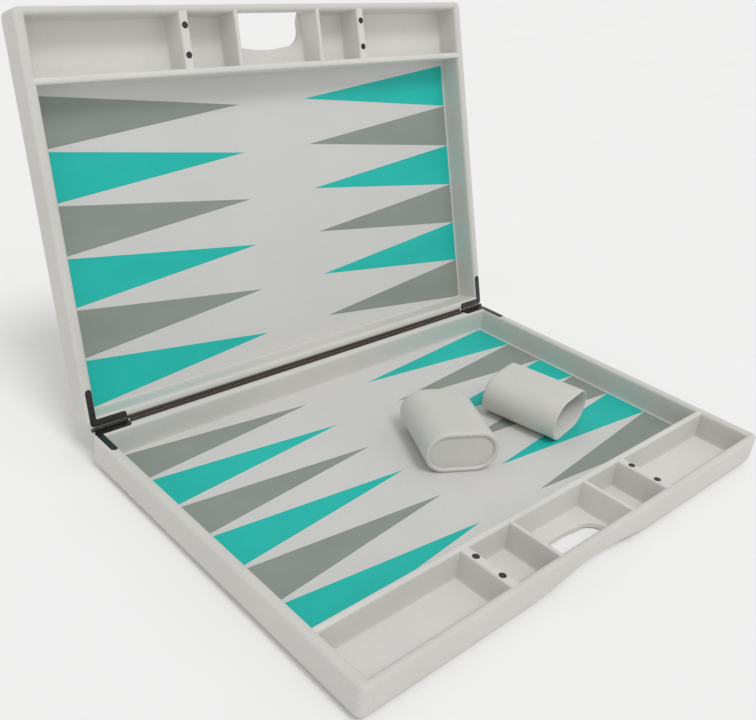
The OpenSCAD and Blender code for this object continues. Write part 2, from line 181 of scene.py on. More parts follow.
def offset(points, distance):
    """A closed counter-clockwise outline moved outwards by distance, mitred."""
    out = []
    n = len(points)
    for i in range(n):
        p, q, r = points[i - 1], points[i], points[(i + 1) % n]
        e1 = Vector((q[0] - p[0], q[1] - p[1])).normalized()
        e2 = Vector((r[0] - q[0], r[1] - q[1])).normalized()
        n1, n2 = Vector((e1.y, -e1.x)), Vector((e2.y, -e2.x))
        m = n1 + n2
        scale = distance / max(MITRE_LIMIT, 1 + n1.dot(n2))
        out.append((q[0] + m.x * scale, q[1] + m.y * scale))
    return out


def prism(outline, levels):
    """Stacked copies of an outline: levels is (z, outward offset) from low to high."""
    return loft([[(x, y, z) for x, y in offset(outline, grow)] for z, grow in levels])


def quarter(radius, steps, first=0):
    """Steps round a quarter circle: how far in and how far short of the crown each one is."""
    angles = [math.pi / 2 * i / steps for i in range(first, steps + 1)]
    return [(radius * (1 - math.cos(a)), radius * (1 - math.sin(a))) for a in angles]


def circle(cx, cy, radius, steps):
    return [(cx + radius * math.cos(2 * math.pi * i / steps),
             cy + radius * math.sin(2 * math.pi * i / steps)) for i in range(steps)]


def arc(cx, cy, radius, start, end, steps):
    return [(cx + radius * math.cos(math.radians(start + (end - start) * i / steps)),
             cy + radius * math.sin(math.radians(start + (end - start) * i / steps)))
            for i in range(steps + 1)]


def turned(path, steps):
    """Rings round the hinge line: path is (x, radius)."""
    return [[(x, y, z) for y, z in circle(0, AXIS_Z, radius, steps)] for x, radius in path]


def carve(obj, cutters):
    """Cuts the cutters out of obj, one after another, and keeps the result as plain mesh."""
    for cutter in cutters:
        mod = obj.modifiers.new("carve", "BOOLEAN")
        mod.operation = "DIFFERENCE"
        mod.solver = "EXACT"
        mod.object = cutter
        bpy.context.view_layer.update()
        graph = bpy.context.evaluated_depsgraph_get()
        result = bpy.data.meshes.new_from_object(obj.evaluated_get(graph))
        obj.modifiers.clear()
        old, mesh = obj.data, cutter.data
        obj.data = result
        bpy.data.meshes.remove(old)
        bpy.data.objects.remove(cutter)
        bpy.data.meshes.remove(mesh)
        bm = bmesh.new()
        bm.from_mesh(result)
        bmesh.ops.remove_doubles(bm, verts=bm.verts, dist=CARVE_MERGE_M)
        bmesh.ops.dissolve_degenerate(bm, edges=bm.edges, dist=CARVE_COLLAPSE_M)
        bm.to_mesh(result)
        bm.free()


def flat_caps(obj):
    """Large level faces are shaded flat, so that they don't pick up the tilt of their edges."""
    for poly in obj.data.polygons:
        if poly.area > FLAT_FACE_MM2 * MM * MM:
            poly.use_smooth = False


# ---------------------------------------------------------------- materials

class Graph:
    """Short names for building one node material."""

    def __init__(self, name):
        self.material = bpy.data.materials.new(name)
        self.material.use_nodes = True
        self.tree = self.material.node_tree
        self.shader = next(n for n in self.tree.nodes if n.type == "BSDF_PRINCIPLED")
        self.coords = self.tree.nodes.new("ShaderNodeTexCoord")

    def node(self, kind, **values):
        made = self.tree.nodes.new(kind)
        for key, value in values.items():
            setattr(made, key, value)
        return made

    def link(self, a, b):
        self.tree.links.new(a, b)

    def noise(self, scale, detail=3.0, roughness=0.55, stretch=(1, 1, 1)):
        mapping = self.node("ShaderNodeMapping")
        mapping.inputs["Scale"].default_value = stretch
        self.link(self.coords.outputs["Object"], mapping.inputs["Vector"])
        made = self.node("ShaderNodeTexNoise")
        made.inputs["Scale"].default_value = scale
        made.inputs["Detail"].default_value = detail
        made.inputs["Roughness"].default_value = roughness
        self.link(mapping.outputs["Vector"], made.inputs["Vector"])
        return made.outputs["Fac"]

    def cells(self, scale):
        made = self.node("ShaderNodeTexVoronoi")
        made.inputs["Scale"].default_value = scale
        self.link(self.coords.outputs["Object"], made.inputs["Vector"])
        return made.outputs["Distance"]

    def ramp(self, source, low, high, out_low=0.0, out_high=1.0):
        made = self.node("ShaderNodeMapRange")
        made.inputs["From Min"].default_value = low
        made.inputs["From Max"].default_value = high
        made.inputs["To Min"].default_value = out_low
        made.inputs["To Max"].default_value = out_high
        self.link(source, made.inputs["Value"])
        return made.outputs["Result"]

    def mix(self, factor, first, second):
        made = self.node("ShaderNodeMix", data_type="RGBA")
        self.link(factor, made.inputs[0])
        for socket, value in ((6, first), (7, second)):
            if isinstance(value, tuple):
                made.inputs[socket].default_value = value + (1.0,)
            else:
                self.link(value, made.inputs[socket])
        return made.outputs[2]

    def math(self, kind, first, second):
        made = self.node("ShaderNodeMath", operation=kind)
        for socket, value in ((0, first), (1, second)):
            if isinstance(value, (int, float)):
                made.inputs[socket].default_value = value
            else:
                self.link(value, made.inputs[socket])
        return made.outputs[0]

    def bump(self, height, strength, distance, after=None):
        made = self.node("ShaderNodeBump")
        made.inputs["Strength"].default_value = strength
        made.inputs["Distance"].default_value = distance
        self.link(height, made.inputs["Height"])
        if after is not None:
            self.link(after, made.inputs["Normal"])
        return made.outputs["Normal"]

    def finish(self, colour, roughness, normal, **values):
        self.link(colour, self.shader.inputs["Base Color"])
        self.link(roughness, self.shader.inputs["Roughness"])
        self.link(normal, self.shader.inputs["Normal"])
        for key, value in values.items():
            self.shader.inputs[key.replace("_", " ")].default_value = value
        return self.material


def shade(colour, factor):
    """The colour made darker or lighter."""
    return tuple(min(1.0, c * factor) for c in colour)


def leather(name, colour, rough, grain, strength, vary=0.035):
    """Pebbled leather: grain is the pebble size in mm, vary is how much the colour drifts."""
    g = Graph(name)
    pebbles = g.cells(1 / (grain * MM))
    pores = g.noise(2600, detail=2.0)
    creases = g.noise(95, detail=4.0, roughness=0.6)
    cloud = g.noise(7, roughness=0.5)
    speck = g.noise(420, roughness=0.65)
    grime = 0.05
    warm = (colour[0] * (1 - grime * 0.6), colour[1] * (1 - grime), colour[2] * (1 - grime * 1.9))
    base = g.mix(g.ramp(cloud, 0.32, 0.68), shade(colour, 1 - vary * 1.6), shade(colour, 1 + vary))
    base = g.mix(g.ramp(speck, 0.45, 0.75, 0.0, 0.5), base, warm)
    base = g.mix(g.ramp(pebbles, 0.52, 0.85, 0.0, 0.5), base, shade(colour, 0.86))
    roughness = g.math("ADD", g.ramp(speck, 0.3, 0.7, rough - 0.05, rough + 0.06),
                       g.ramp(cloud, 0.3, 0.7, -0.03, 0.03))
    height = g.math("SUBTRACT", g.math("MULTIPLY", creases, 0.9), g.math("POWER", pebbles, 2.0))
    normal = g.bump(height, strength, 0.00035)
    normal = g.bump(pores, strength * 0.45, 0.00008, after=normal)
    return g.finish(base, roughness, normal, Specular_IOR_Level=0.42)


def inlay_leather(name, colour, rough):
    """Smooth pressed leather for the points: fine grain, faint streaks along the hide."""
    g = Graph(name)
    grain = g.cells(1400)
    streak = g.noise(22, detail=4.0, roughness=0.6, stretch=(0.35, 1.0, 1.0))
    speck = g.noise(900, roughness=0.6)
    base = g.mix(g.ramp(streak, 0.3, 0.7), shade(colour, 0.93), shade(colour, 1.05))
    base = g.mix(g.ramp(speck, 0.5, 0.8, 0.0, 0.35), base, shade(colour, 0.85))
    roughness = g.ramp(speck, 0.3, 0.7, rough - 0.05, rough + 0.06)
    normal = g.bump(grain, 0.12, 0.0002)
    normal = g.bump(streak, 0.06, 0.0006, after=normal)
    return g.finish(base, roughness, normal, Specular_IOR_Level=0.3)


def felt(name, colour):
    """Short felt: matted fibres with a soft sheen."""
    g = Graph(name)
    fibre = g.noise(1500, detail=6.0, roughness=0.75)
    tuft = g.noise(320, detail=4.0, roughness=0.65)
    cloud = g.noise(30)
    base = g.mix(g.ramp(cloud, 0.3, 0.7), shade(colour, 0.94), colour)
    base = g.mix(g.ramp(fibre, 0.35, 0.7, 0.0, 0.5), base, shade(colour, 1.12))
    roughness = g.ramp(tuft, 0.3, 0.7, 0.88, 1.0)
    normal = g.bump(tuft, 0.35, 0.0005)
    normal = g.bump(fibre, 0.5, 0.00025, after=normal)
    return g.finish(base, roughness, normal, Specular_IOR_Level=0.15, Sheen_Weight=0.35,
                    Sheen_Roughness=0.5)


def plated(name, colour, rough, metallic, wear=0.35, specular=0.5):
    """Dark plated or lacquered metal: brushed along X, with small bright worn flecks."""
    g = Graph(name)
    brush = g.noise(240, detail=5.0, roughness=0.7, stretch=(0.06, 1.0, 1.0))
    blotch = g.noise(120, roughness=0.5)
    fleck = g.noise(900, detail=4.0, roughness=0.7)
    bare_metal = (0.34, 0.34, 0.35)
    base = g.mix(g.ramp(blotch, 0.3, 0.7), shade(colour, 0.75), shade(colour, 1.25))
    base = g.mix(g.ramp(fleck, 0.62, 0.72, 0.0, wear), base, bare_metal)
    roughness = g.math("ADD", g.ramp(brush, 0.3, 0.7, rough - 0.08, rough + 0.1),
                       g.ramp(fleck, 0.6, 0.75, 0.0, 0.08))
    normal = g.bump(brush, 0.18, 0.00012)
    return g.finish(base, roughness, normal, Metallic=metallic, Specular_IOR_Level=specular)


CASE = leather("case_leather", (0.668, 0.658, 0.628), 0.52, grain=1.1, strength=0.24)
# the partitions and tray walls use the case's white leather painted lighter, as painted light, so
# that their shaded faces look brighter
DIVIDER = leather("divider_leather_painted_light", (0.720, 0.712, 0.684), 0.54, grain=1.0, strength=0.2)
# the tray floors use the case's white leather painted lighter still, as painted light against the
# shade inside the trays
LINING = leather("tray_leather_painted_light", (0.760, 0.754, 0.728), 0.56, grain=0.9, strength=0.16)
FIELD = leather("field_leather", (0.672, 0.667, 0.652), 0.6, grain=0.8, strength=0.12, vary=0.02)
TEAL = inlay_leather("teal_inlay", (0.014, 0.510, 0.447), 0.56)
GREY = inlay_leather("grey_inlay", (0.280, 0.312, 0.280), 0.56)
CUP = leather("cup_leather", (0.655, 0.646, 0.615), 0.5, grain=0.8, strength=0.16)
FELT = felt("cup_felt", (0.700, 0.695, 0.668))
BROWN = leather("fold_leather", (0.050, 0.036, 0.030), 0.6, grain=0.8, strength=0.3)
BLACK = plated("black_plate", (0.012, 0.011, 0.010), 0.22, metallic=0.0, wear=0.08, specular=0.6)
STEEL = plated("pin_steel", (0.10, 0.10, 0.10), 0.3, metallic=1.0)
MAGNET = plated("magnet_plate", (0.075, 0.074, 0.072), 0.34, metallic=1.0, wear=0.4)


def place(obj, body, material, replaced=()):
    """Gives a piece its material, its body and the CAD nodes that it stands for."""
    obj.data.materials.clear()
    obj.data.materials.append(material)
    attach(obj, body)
    for node in replaced:
        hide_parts(node)
    return obj


# ---------------------------------------------------------------- one leaf: the wrapped case

CORNER = 7.0                # radius of the upright corners
UNDER = 12.0                # radius of the lower edges
UNDER_CORNER = 2.5          # smallest corner radius on the underside
EDGE = 3.8                  # radius of the padded rim
CAVITY_CORNER = 1.5         # radius of the upright corners inside
CORNER_STEPS = 6
END_STEPS = 100             # the end wall bends under the handle, so it has the most steps
SIDE_STEPS = 30
UNDER_STEPS = 8
RIM_STEPS = 6
UNDERSIDE_INSETS = (25.0, 21.0, 17.5, 14.5)
OUTER_HEIGHTS = (17.0, 23.0, 29.0)
CAVITY_HEIGHTS = (26.0, 17.0, FLOOR + 2.2)
# where the cavity's wall meets the floor: inset and height above the floor
CAVITY_FOOT = ((-0.25, 1.2), (-0.7, 0.5), (-1.3, 0.1), (-1.6, -0.3))

LIFT = 12.5                 # height of the finger recess at the outer face
LIFT_HALF = 97.5            # half of its width
LIFT_START = 378.0          # where it starts, counted from the hinge line
LIFT_TOP_GAP = 1.0          # the rim itself stays level
TRAY_SKIN = 1.4             # least thickness left under the trays


def lifted(x, y, z):
    """Raises the underside into the finger recess below the handle."""
    if abs(x) >= LIFT_HALF or -y <= LIFT_START or z > RIM - LIFT_TOP_GAP:
        return (x, y, z)
    across = 0.5 * (1 + math.cos(math.pi * x / LIFT_HALF))
    t = min(1.0, (-y - LIFT_START) / (REACH - LIFT_START))
    ramp = t * t * (3 - 2 * t)
    rise = LIFT * across * ramp * (1 - z / RIM)
    if -y < END_IN:
        rise = min(rise, BASE - TRAY_SKIN)
    return (x, y, z + rise)


def shell_ring(inset, z, radius):
    """A ring on the outside; inset is measured inwards from the outer faces."""
    points = round_rect(-HALF + inset, HALF - inset, -REACH + inset, -FOLD_OUT - inset,
                        radius, CORNER_STEPS, (END_STEPS, SIDE_STEPS, SIDE_STEPS, SIDE_STEPS))
    return [lifted(x, y, z) for x, y in points]


def cavity_ring(inset, z, radius):
    """A ring on the inside; inset is measured from the cavity's wall towards the outside."""
    points = round_rect(-INNER - inset, INNER + inset, -END_IN - inset, -FOLD_IN + inset,
                        radius, CORNER_STEPS, (END_STEPS, SIDE_STEPS, SIDE_STEPS, SIDE_STEPS))
    return [(x, y, z) for x, y in points]


def case_shell():
    """The wrap as one loft: underside, outer wall, rim, inner wall and floor of the cavity."""
    rings = [shell_ring(inset, 0.0, UNDER_CORNER) for inset in UNDERSIDE_INSETS]
    for rise, inset in quarter(UNDER, UNDER_STEPS):
        rings.append(shell_ring(inset, rise, max(UNDER_CORNER, CORNER - 0.4 * inset)))
    for z in OUTER_HEIGHTS:
        rings.append(shell_ring(0, z, CORNER))
    for inset, drop in quarter(EDGE, RIM_STEPS):
        rings.append(shell_ring(inset, RIM - drop, CORNER - inset))
    for inset, drop in reversed(quarter(EDGE, RIM_STEPS)):
        rings.append(cavity_ring(inset, RIM - drop, CAVITY_CORNER + inset))
    for z in CAVITY_HEIGHTS:
        rings.append(cavity_ring(0, z, CAVITY_CORNER))
    for inset, above in CAVITY_FOOT:
        rings.append(cavity_ring(inset, FLOOR + above, CAVITY_CORNER))
    rings.append(cavity_ring(CAVITY_FOOT[-1][0], BASE, CAVITY_CORNER))
    return loft(rings)


# ---------------------------------------------------------------- one leaf: the hand hole

HOLE_HALF = 51.0            # half of the hole's width
HOLE_REACH = 358.0          # from the hinge line to the middle of its curved edge
HOLE_CORNER = 18.0
HOLE_CORNER_GAP = 3.0       # how far a corner lies behind the middle of the curved edge
HOLE_CORNER_SWEEP = 76
HOLE_CURVE = 150.0          # radius of the curved edge
HOLE_CURVE_HALF = 28.0      # half of the curved edge's length between the corners
HOLE_SIDE = 8.0             # straight stretch beside a corner
HOLE_INTO_WALL = 0.6
HOLE_WALL_POINTS = (-HOLE_HALF, -20, 20, HOLE_HALF)
LOWER_FLARE = 1.6           # radius of the hole's edge on the underside
UPPER_FLARE = 0.9           # radius of its edge on the tray's floor
FLARE_STEPS = 4
CUT_PAST = 3.0              # how far a cutter goes beyond the surfaces
CUT_SKIN = 0.02
LEAST_RISE = 0.05           # smallest step between two levels of a cutter


def hole_outline():
    """The hand hole, counter-clockwise, with its flat side in the end wall."""
    corner_y = -HOLE_REACH - HOLE_CORNER_GAP - HOLE_CORNER
    corner_x = HOLE_HALF - HOLE_CORNER
    points = [(x, -END_IN - HOLE_INTO_WALL) for x in HOLE_WALL_POINTS]
    points += [(HOLE_HALF, corner_y - HOLE_SIDE)]
    points += arc(corner_x, corner_y, HOLE_CORNER, 0, HOLE_CORNER_SWEEP, 14)
    curve_steps = 24
    for i in range(1, curve_steps):
        x = HOLE_CURVE_HALF - 2 * HOLE_CURVE_HALF * i / curve_steps
        points.append((x, -HOLE_REACH - HOLE_CURVE + math.sqrt(HOLE_CURVE ** 2 - x * x)))
    points += arc(-corner_x, corner_y, HOLE_CORNER, 180 - HOLE_CORNER_SWEEP, 180, 14)
    points += [(-HOLE_HALF, corner_y - HOLE_SIDE)]
    return points


def hole_cutter(matrix, low, high):
    """Cuts the hand hole; low and high are the heights of the two surfaces that it passes."""
    levels = [(low - CUT_PAST, LOWER_FLARE * 1.9), (low - CUT_SKIN, LOWER_FLARE)]
    for _, short in quarter(LOWER_FLARE, FLARE_STEPS, first=1):
        levels.append((low + LOWER_FLARE - short, short * 0.98))
    for _, short in reversed(quarter(UPPER_FLARE, FLARE_STEPS, first=1)):
        levels.append((high - UPPER_FLARE + short, short))
    levels += [(high + CUT_SKIN, UPPER_FLARE), (high + CUT_PAST, 2.0)]
    rising = [levels[0]]
    for z, grow in levels[1:]:
        if z > rising[-1][0] + LEAST_RISE:
            rising.append((z, grow))
    verts, faces = prism(hole_outline(), rising)
    return build("cutter_hole", verts, faces, matrix)


def bar_cutter(matrix):
    """Takes away the wall under the handle bar, sloping down to the outside."""
    bottom = -4.0
    inner, outer = END_IN - 6, REACH + 3
    profile = [(inner, bottom), (inner, 23.0), (END_IN - 0.8, 26.4), (END_IN + 0.6, 25.6),
               (END_IN + 2.2, 22.0), (END_IN + 4.4, 16.0), (END_IN + 6.4, 10.5), (outer, 3.5),
               (outer, bottom)]
    ends = ((0.2, 3.0), (1.0, 1.4), (2.6, 0.4), (5, 0.0))
    stations = [(-HOLE_HALF + inset, shrink) for inset, shrink in ends]
    stations += [(0, 0.0)]
    stations += [(HOLE_HALF - inset, shrink) for inset, shrink in reversed(ends)]
    rings = []
    for x, shrink in stations:
        rings.append([(x, -v, z - (shrink if z > 0 else 0)) for v, z in profile])
    verts, faces = loft(rings)
    return build("cutter_bar", verts, faces, matrix)


# ---------------------------------------------------------------- one leaf: wrap, lining and walls

WRAPPED_BOARDS = ("base_panel", "left_side_wall", "right_side_wall", "end_wall", "fold_wall")
LINING_GAP = 1.2            # short of the CAD's walls, under the foot of the wrap
LINING_UNDER_WALL = 1.0     # under the tray wall
LINING_SINK = 0.5
BURIED_ENDS = 3.05          # how far the tray wall runs into the side walls
TRAY_WALL_DROP = 0.06
TRAY_WALL_EDGE = 2.6
TRAY_WALL_FLARE = 0.9
PARTITION_INTO_END = 2.6    # how far a partition runs into the end wall
PARTITION_INTO_TRAY = 2.2   # how far it runs into the tray wall
PARTITION_DROP = 0.12
PARTITION_FLARE = 0.8
PARTITION_EDGES = {"magnet": 2.4, "handle": 1.9}
BAR_STEP = 20               # a wall is divided into pieces of about this length
# the flare where a wall meets the floor: height above the floor and share of the flare
BAR_FOOT = ((-0.3, 1), (0.05, 1), (0.45, 0.45), (1.2, 0.1), (2.4, 0.0))


def long_bar(along, lo, hi, start, end, low, high, edge, flare):
    """A wall between two others: round only along its length, its ends buried."""
    def section(t):
        points = [(hi + flare * share, low + above) for above, share in BAR_FOOT]
        points.append((hi, (low + high) / 2))
        for inset, drop in quarter(edge, 6):
            points.append((hi - inset, high - drop))
        points += [(lo + hi - p, z) for p, z in reversed(points)]
        return [(t, p, z) if along == "x" else (p, t, z) for p, z in points]
    count = max(2, int((end - start) / BAR_STEP))
    return loft([section(start + (end - start) * i / count) for i in range(count + 1)])


def wrap_piece(prefix, body, matrix):
    verts, faces = case_shell()
    shell = build(prefix + "_case_wrap", verts, faces, matrix)
    carve(shell, [bar_cutter(matrix), hole_cutter(matrix, 0.0, BASE)])
    tidy(shell, CARVED_SHARP_DEG)
    flat_caps(shell)
    place(shell, body, CASE, [f"{prefix}_{board}" for board in WRAPPED_BOARDS])


def lining_piece(prefix, body, matrix):
    """The floor of the five trays, one piece that runs under the partitions."""
    outline = round_rect(-INNER + LINING_GAP, INNER - LINING_GAP, -END_IN + LINING_GAP,
                         -TRAY_OUT + LINING_UNDER_WALL, CAVITY_CORNER, 4)
    levels = [(BASE - LINING_SINK, 0), (FLOOR - LINING_SINK, 0), (FLOOR - 0.12, -0.15), (FLOOR, -0.5)]
    verts, faces = prism(outline, levels)
    lining = build(prefix + "_tray_lining", verts, faces, matrix)
    carve(lining, [hole_cutter(matrix, BASE - 2, FLOOR)])
    tidy(lining, CARVED_SHARP_DEG)
    flat_caps(lining)
    place(lining, body, LINING)


def tray_wall_piece(prefix, body, matrix):
    verts, faces = long_bar("x", -TRAY_OUT, -TRAY_IN, -INNER - BURIED_ENDS, INNER + BURIED_ENDS,
                            FLOOR, RIM - TRAY_WALL_DROP, TRAY_WALL_EDGE, TRAY_WALL_FLARE)
    tray = build(prefix + "_tray_wall_wrap", verts, faces, matrix)
    place(tray, body, DIVIDER, [prefix + "_tray_wall"])


def partition_piece(prefix, body, matrix, side, sign, kind):
    """A tray partition; sign says on which side of the leaf's middle it is drawn."""
    lo, hi = box_mm(f"lower_right_{kind}_partition")
    middle, half = sign * (lo[0] + hi[0]) / 2, (hi[0] - lo[0]) / 2
    verts, faces = long_bar("y", middle - half, middle + half, -END_IN - PARTITION_INTO_END,
                            -TRAY_OUT + PARTITION_INTO_TRAY, FLOOR, RIM - PARTITION_DROP,
                            PARTITION_EDGES[kind], PARTITION_FLARE)
    wall = build(f"{prefix}_{side}_{kind}_partition_wrap", verts, faces, matrix)
    place(wall, body, DIVIDER, [f"{prefix}_{side}_{kind}_partition"])


def leaf_case(prefix, body, matrix):
    wrap_piece(prefix, body, matrix)
    lining_piece(prefix, body, matrix)
    tray_wall_piece(prefix, body, matrix)
    # the upper leaf is turned half a turn, so its left side is drawn on the right
    sides = {"left": -1, "right": 1} if prefix == "lower" else {"left": 1, "right": -1}
    for side, sign in sides.items():
        for kind in PARTITION_EDGES:
            partition_piece(prefix, body, matrix, side, sign, kind)


# ---------------------------------------------------------------- one leaf: field, points, magnets

POINTS_PER_COLUMN = 6
POINT_PITCH = 52.5
POINT_GAP = 0.4             # white left between two points at the base
POINT_HALF = (POINT_PITCH - POINT_GAP) / 2
POINT_LENGTH = 240.5
POINT_BASE = INNER - 1.5
POINT_START = FOLD_IN + 0.25
POINT_BASE_STEPS = 4
POINT_SIDE_STEPS = 16
POINT_LEVELS = ((-0.5, 0), (-0.12, 0), (-0.06, -0.1), (-0.04, -0.3))
FIELD_GAP = 0.9             # short of the CAD's walls, under the foot of the wrap
FIELD_TRAY_GAP = 0.7        # short of the tray wall, under its flare
FIELD_CORNER = 1.2
FIELD_LEVELS = ((-0.75, 0), (-0.4, -0.15), (-0.2, -0.5), (-0.14, -1.0))
MAGNET_RADIUS = 4.0
MAGNET_LAP = 0.35           # how far the leather laps over a magnet's edge
MAGNET_LEVELS = ((-2.4, 0), (-0.35, 0), (-0.14, -0.08), (-0.04, -0.3), (-0.02, -0.9), (-0.1, -1.2),
                 (-0.1, -3.0))
STRIP_GAP = 0.03            # between a fold strip's upper corner and the hinge line
STRIP_STEPS = 25


def field_piece(prefix, body, matrix):
    outline = round_rect(-INNER + FIELD_GAP, INNER - FIELD_GAP, -TRAY_IN + FIELD_TRAY_GAP,
                         -FOLD_IN - FIELD_GAP, FIELD_CORNER, 4)
    levels = [(BASE - 0.3, 0)] + [(FLOOR + above, grow) for above, grow in FIELD_LEVELS]
    verts, faces = prism(outline, levels)
    field = build(prefix + "_field_leather", verts, faces, matrix)
    flat_caps(field)
    place(field, body, FIELD, [prefix + "_playing_surface"])


def point_outline(side, index):
    """A long triangle; its sides are divided so that its faces stay well shaped."""
    base_x = side * POINT_BASE
    middle = -POINT_START - (index + 0.5) * POINT_PITCH
    corners = [(base_x, middle - side * POINT_HALF), (base_x, middle + side * POINT_HALF),
               (side * (POINT_BASE - POINT_LENGTH), middle)]
    points = []
    for k, steps in enumerate((POINT_BASE_STEPS, POINT_SIDE_STEPS, POINT_SIDE_STEPS)):
        a, b = Vector(corners[k]), Vector(corners[(k + 1) % 3])
        points += [tuple(a.lerp(b, i / steps)) for i in range(steps)]
    return points


def points_piece(prefix, body, matrix, colour, material, parity):
    """The points of one colour; colours alternate, and the two columns start with different ones."""
    levels = [(FLOOR + above, grow) for above, grow in POINT_LEVELS]
    parts = []
    for side, start in ((-1, 0), (1, 1)):
        for index in range(POINTS_PER_COLUMN):
            if (index + start) % 2 == parity:
                parts.append(prism(point_outline(side, index), levels))
    verts, faces = joined(parts)
    piece = build(f"{prefix}_{colour}_inlay", verts, faces, matrix)
    flat_caps(piece)
    place(piece, body, material, [f"{prefix}_{colour}_points"])


def magnets_piece(prefix, body, matrix):
    lo, hi = box_mm("lower_magnets")
    levels = [(RIM + above, grow) for above, grow in MAGNET_LEVELS]
    parts = []
    for x in (lo[0] + MAGNET_RADIUS, hi[0] - MAGNET_RADIUS):
        for y in (lo[1] + MAGNET_RADIUS, hi[1] - MAGNET_RADIUS):
            disc = circle(x, y - AXIS_Y, MAGNET_RADIUS - MAGNET_LAP, 40)
            parts.append(prism(disc, levels))
    verts, faces = joined(parts)
    piece = build(prefix + "_magnet_discs", verts, faces, matrix)
    place(piece, body, MAGNET, [prefix + "_magnets"])


def facing_piece(prefix, body, matrix):
    """The brown strip on the fold edge: its upper corner nearly touches the hinge line."""
    lo, hi = box_mm("lower_fold_facing")
    buried, back, front = -FOLD_OUT - 0.5, -FOLD_OUT - EDGE * 0.25, -STRIP_GAP
    low, high = lo[2], AXIS_Z - STRIP_GAP
    section = [(buried, low), (front - 0.5, low), (front - 0.15, low + 0.15), (front, low + 0.5),
               (front, high - 0.06), (front - 0.02, high - 0.02), (front - 0.06, high),
               (back + 0.7, high - 0.1), (back, high - 0.5), (back - 0.2, high - 2.4),
               (buried, high - 5.0)]
    # the ends are drawn in a little, so that they look folded over
    ends = ((lo[0], 0.5), (lo[0] + 0.15, 0.15), (lo[0] + 0.5, 0.0))
    stations = list(ends)
    stations += [(lo[0] + (hi[0] - lo[0]) * i / STRIP_STEPS, 0.0) for i in range(1, STRIP_STEPS)]
    stations += [(hi[0] - (x - lo[0]), pull) for x, pull in reversed(ends)]
    rings = []
    for x, pull in stations:
        rings.append([(x, min(y, front - pull), min(z, high - pull)) for y, z in section])
    verts, faces = loft(rings)
    piece = build(prefix + "_fold_strip", verts, faces, matrix)
    place(piece, body, BROWN, [prefix + "_fold_facing"])


for leaf_prefix, leaf_body, leaf_matrix in LEAVES:
    leaf_case(leaf_prefix, leaf_body, leaf_matrix)
    field_piece(leaf_prefix, leaf_body, leaf_matrix)
    points_piece(leaf_prefix, leaf_body, leaf_matrix, "teal", TEAL, 1)
    points_piece(leaf_prefix, leaf_body, leaf_matrix, "grey", GREY, 0)
    magnets_piece(leaf_prefix, leaf_body, leaf_matrix)
    facing_piece(leaf_prefix, leaf_body, leaf_matrix)


# ---------------------------------------------------------------- hinges

pin_lo, pin_hi = box_mm("right_hinge_pin")
plate_lo, plate_hi = box_mm("right_hinge_lower_plate")
PLATE_IN = plate_lo[0]
PLATE_OUT = plate_hi[0]
LEG_REACH = AXIS_Y - plate_lo[1]
LEG_WIDTH = 7.0
PLATE_REACH = 10.0
PLATE_CORNER = 5.0          # radius beside the barrel, at the outer side of the case
PLATE_END_CORNER = 3.2      # radius at the inner end, away from the barrel
PLATE_BARREL_CORNER = 1.2   # radius at the inner end, beside the barrel
PLATE_FILLET = 1.2          # where the leg leaves the plate
PLATE_ROUND = 0.35
PLATE_LOW_ROUND = 0.2
BARREL = 2.2
BARREL_BORE = 1.25
PLATE_EDGE = BARREL + 0.2
PLATE_TOP = RIM + 0.22
PLATE_LOW = RIM - 1.2
KNUCKLES = 5
KNUCKLE_PITCH = (PLATE_OUT - PLATE_IN) / KNUCKLES
KNUCKLE_GAP = 0.15          # left free at each end of a knuckle
SCREW_ROW = 7.4             # from the hinge line to the row of two screws
SCREWS = ((PLATE_OUT - LEG_WIDTH / 2, LEG_REACH - 5), (PLATE_IN + 4, SCREW_ROW),
          (PLATE_OUT - 15, SCREW_ROW))
SCREW_TURN_DEG = (17, 48, 79)
SCREW_RIM = 2.12
SLOT_HALF = 0.26            # half of the width of the cross recess
SLOT_ARM = 1.25
SLOT_DEPTH = 0.15
# the hole that a screw head sits in: height from the plate's top and radius
SINK_LEVELS = ((-1.1, 0.6), (-0.95, 1.2), (-0.05, 2.25), (0.6, 2.9))


def plate_outline():
    """The L-shaped plate, counter-clockwise, for the right-hand end of a leaf."""
    leg = LEG_WIDTH / 2
    leg_in = PLATE_OUT - LEG_WIDTH
    points = arc(PLATE_OUT - leg, -LEG_REACH + leg, leg, 180, 360, 14)
    points += arc(PLATE_OUT - PLATE_CORNER, -PLATE_EDGE - PLATE_CORNER, PLATE_CORNER, 0, 90, 8)
    points += [(PLATE_IN + 24, -PLATE_EDGE), (PLATE_IN + 12, -PLATE_EDGE)]
    points += arc(PLATE_IN + PLATE_BARREL_CORNER, -PLATE_EDGE - PLATE_BARREL_CORNER,
                  PLATE_BARREL_CORNER, 90, 180, 4)
    points += arc(PLATE_IN + PLATE_END_CORNER, -PLATE_REACH + PLATE_END_CORNER,
                  PLATE_END_CORNER, 180, 270, 7)
    points += [(PLATE_IN + 18, -PLATE_REACH), (leg_in - PLATE_FILLET, -PLATE_REACH),
               (leg_in - 0.4, -PLATE_REACH - 0.4), (leg_in, -PLATE_REACH - PLATE_FILLET),
               (leg_in, -(PLATE_REACH + LEG_REACH) / 2)]
    return points


def tube(x0, x1, outer, inner):
    """A knuckle along X round the hinge line, with its rims broken."""
    edge = 0.3
    lip = [(0, outer - edge), (edge * 0.4, outer - edge * 0.25), (edge, outer)]
    path = [(x0, inner)] + [(x0 + along, radius) for along, radius in lip]
    path += [(x1 - along, radius) for along, radius in reversed(lip)] + [(x1, inner)]
    return loft(turned(path, 36), closed=True)


